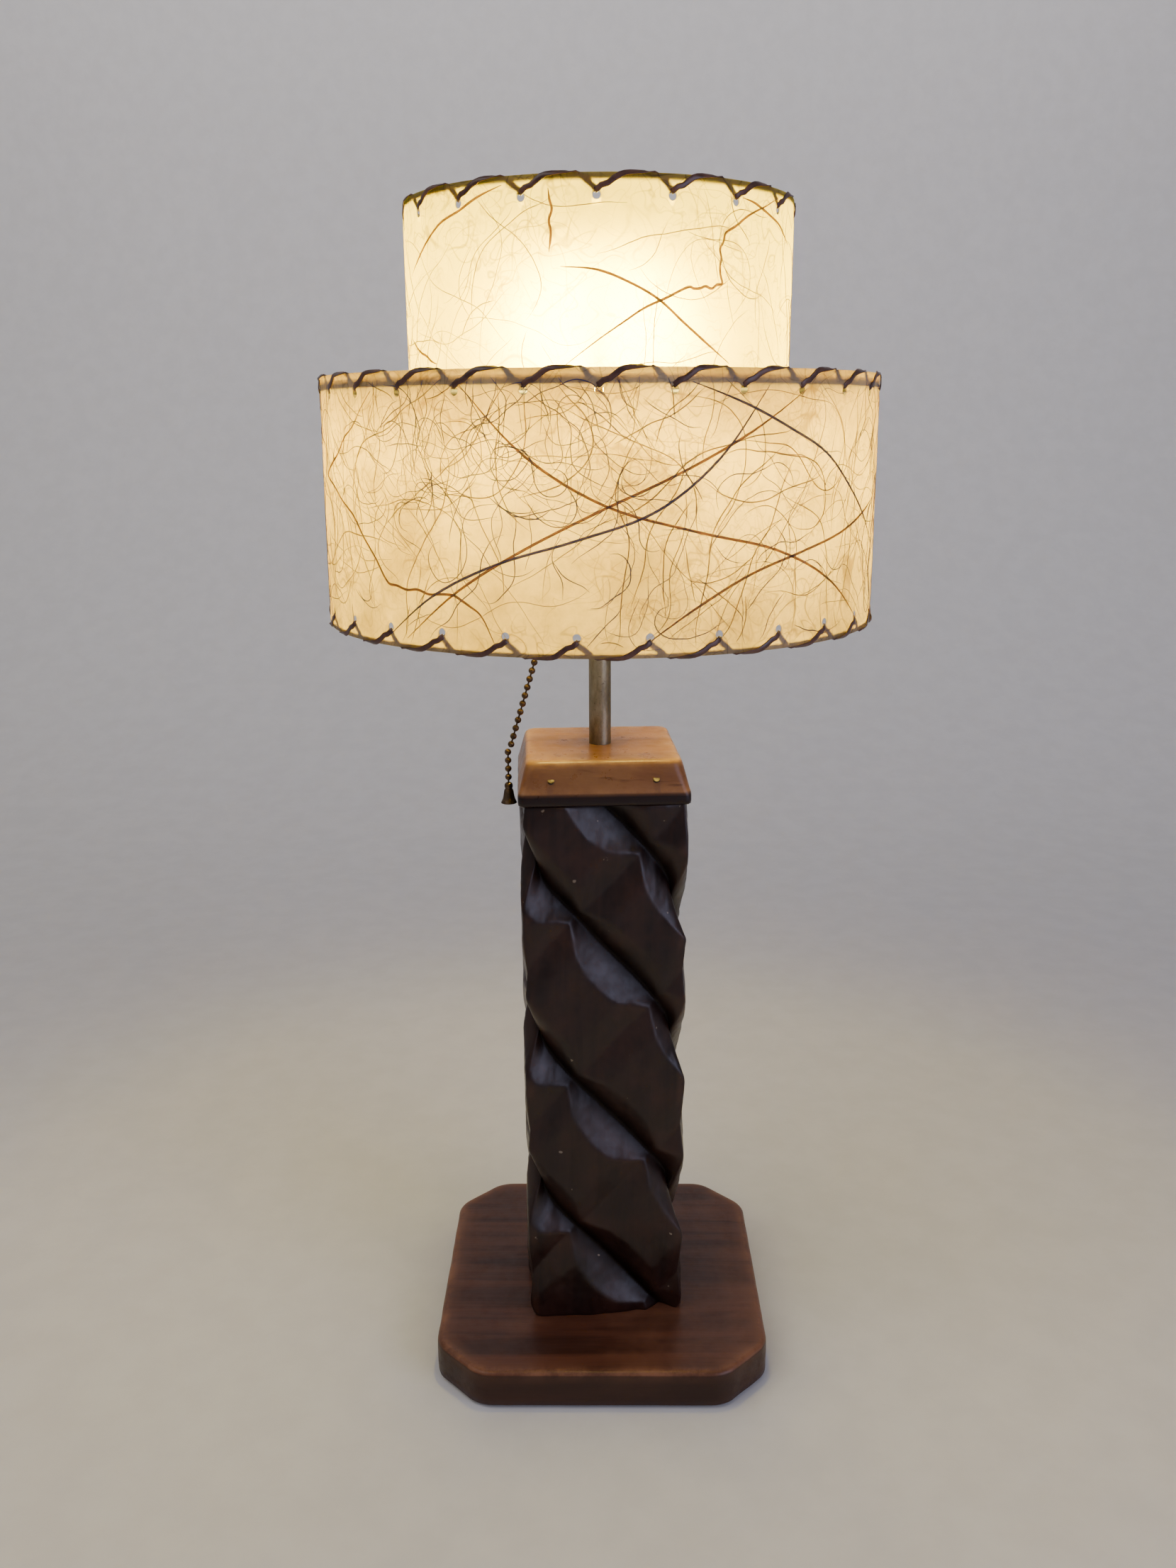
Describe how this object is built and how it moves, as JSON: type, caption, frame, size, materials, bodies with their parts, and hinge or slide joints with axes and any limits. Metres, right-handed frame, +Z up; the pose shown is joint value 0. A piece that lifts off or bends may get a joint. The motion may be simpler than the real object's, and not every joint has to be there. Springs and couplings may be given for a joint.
{
  "type": "table lamp",
  "caption": "Table lamp with a spirally carved square post on a square board, ball pull chain and a laced two-tier drum shade that glows.",
  "frame": {"origin": "middle of the underside of the foot felt, where the lamp stands on the table", "axes": "+Z up along the lamp pipe, the front faces -Y and the pull chain hangs on the -X side"},
  "size_m": [0.2438, 0.2438, 0.5388],
  "materials": {
    "felt": "matte felt",
    "base_wood": "satin reddish stain",
    "screw_steel": "plain zinc plate",
    "bushing": "matte",
    "post_wood": "glossy very dark stain",
    "cap_wood": "satin honey stain",
    "nail": "darkened steel",
    "pipe": "aged dull plate",
    "harp_brass": "aged",
    "socket_brass": "satin",
    "liner": "fibre board",
    "phenolic": "moulded phenolic",
    "contact_brass": "plain",
    "spring_steel": "plain",
    "bulb_glass": "inside-frosted",
    "bulb_stem": "clear glass and wire",
    "bulb_cap": "satin",
    "chain_bronze": "dark bronze plate",
    "ring_wire": "plated wire",
    "shade_sheet": "translucent fibre-flecked sheet",
    "lace": "flat dark brown plastic lace"
  },
  "bodies": {
    "foot": {"felt_pad": "felt", "base_board": "base_wood", "base_screws": "screw_steel", "cord_bushing": "bushing", "pipe_lower_nut": "screw_steel", "pipe_lower_washer": "screw_steel", "carved_post": "post_wood", "pipe_upper_nut": "screw_steel", "pipe_upper_washer": "screw_steel", "cap_block": "cap_wood", "cap_nails": "nail", "lamp_pipe": "pipe", "saddle_nut": "harp_brass", "harp_saddle": "harp_brass", "harp_hoop": "harp_brass", "harp_stud": "harp_brass", "socket_cap": "socket_brass", "socket_shell": "socket_brass", "socket_liner": "liner", "socket_body": "phenolic", "socket_screw_shell": "contact_brass", "socket_contact": "contact_brass", "terminal_screws": "contact_brass", "chain_guide": "socket_brass", "lever_pin": "spring_steel", "lever_spring": "spring_steel"},
    "sleeve_front": {"harp_sleeve_front": "harp_brass"},
    "sleeve_back": {"harp_sleeve_back": "harp_brass"},
    "finial": {"finial": "harp_brass"},
    "bulb": {"bulb_glass": "bulb_glass", "bulb_stem": "bulb_stem", "bulb_base": "bulb_cap"},
    "shade": {"spider": "ring_wire", "upper_top_ring": "ring_wire", "upper_bottom_ring": "ring_wire", "lower_top_ring": "ring_wire", "lower_bottom_ring": "ring_wire", "step_arms": "ring_wire", "upper_sheet": "shade_sheet", "lower_sheet": "shade_sheet", "upper_lacing": "lace", "lower_top_lacing": "lace", "bottom_lacing": "lace"},
    "lever": {"switch_lever": "spring_steel"},
    "chain_upper": {"pull_chain_upper": "chain_bronze"},
    "chain_lower": {"pull_chain_lower": "chain_bronze"},
    "bell": {"bell_pull": "chain_bronze"}
  },
  "joints": [
    {"name": "chain_pull", "type": "slide", "parent": "foot", "child": "chain_upper", "axis": [-0.284, 0, -0.9588], "range_m": [0, 0.008], "stiffness_N_per_m": 300},
    {"name": "chain_follow", "type": "slide", "parent": "foot", "child": "chain_lower", "axis": [0, 0, -1], "range_m": [0, 0.008]},
    {"name": "bell_swing", "type": "hinge", "parent": "chain_lower", "child": "bell", "pos_m": [-0.04345, 0, 0.28437], "axis": [0, 1, 0], "range_deg": [-1, 30]},
    {"name": "lever_turn", "type": "hinge", "parent": "foot", "child": "lever", "pos_m": [-0.005, 0, 0.394], "axis": [0, -1, 0], "range_deg": [0, 46.7]},
    {"name": "sleeve_front_lift", "type": "slide", "parent": "foot", "child": "sleeve_front", "axis": [0, 0, 1], "range_m": [0, 0.007]},
    {"name": "sleeve_back_lift", "type": "slide", "parent": "foot", "child": "sleeve_back", "axis": [0, 0, 1], "range_m": [0, 0.007]},
    {"name": "shade_turn", "type": "hinge", "parent": "foot", "child": "shade", "pos_m": [0, 0, 0.523], "axis": [0, 0, 1], "continuous": true},
    {"name": "finial_unscrew", "type": "hinge", "parent": "foot", "child": "finial", "pos_m": [0, 0, 0.525], "axis": [0, 0, 1], "continuous": true},
    {"name": "bulb_unscrew", "type": "hinge", "parent": "foot", "child": "bulb", "pos_m": [0, 0, 0.407], "axis": [0, 0, 1], "continuous": true}
  ],
  "couplings": [
    {"joint": "chain_follow", "follows": "chain_pull", "ratio": 1},
    {"joint": "lever_turn", "follows": "chain_pull", "rad_per_m": 100.76}
  ]
}
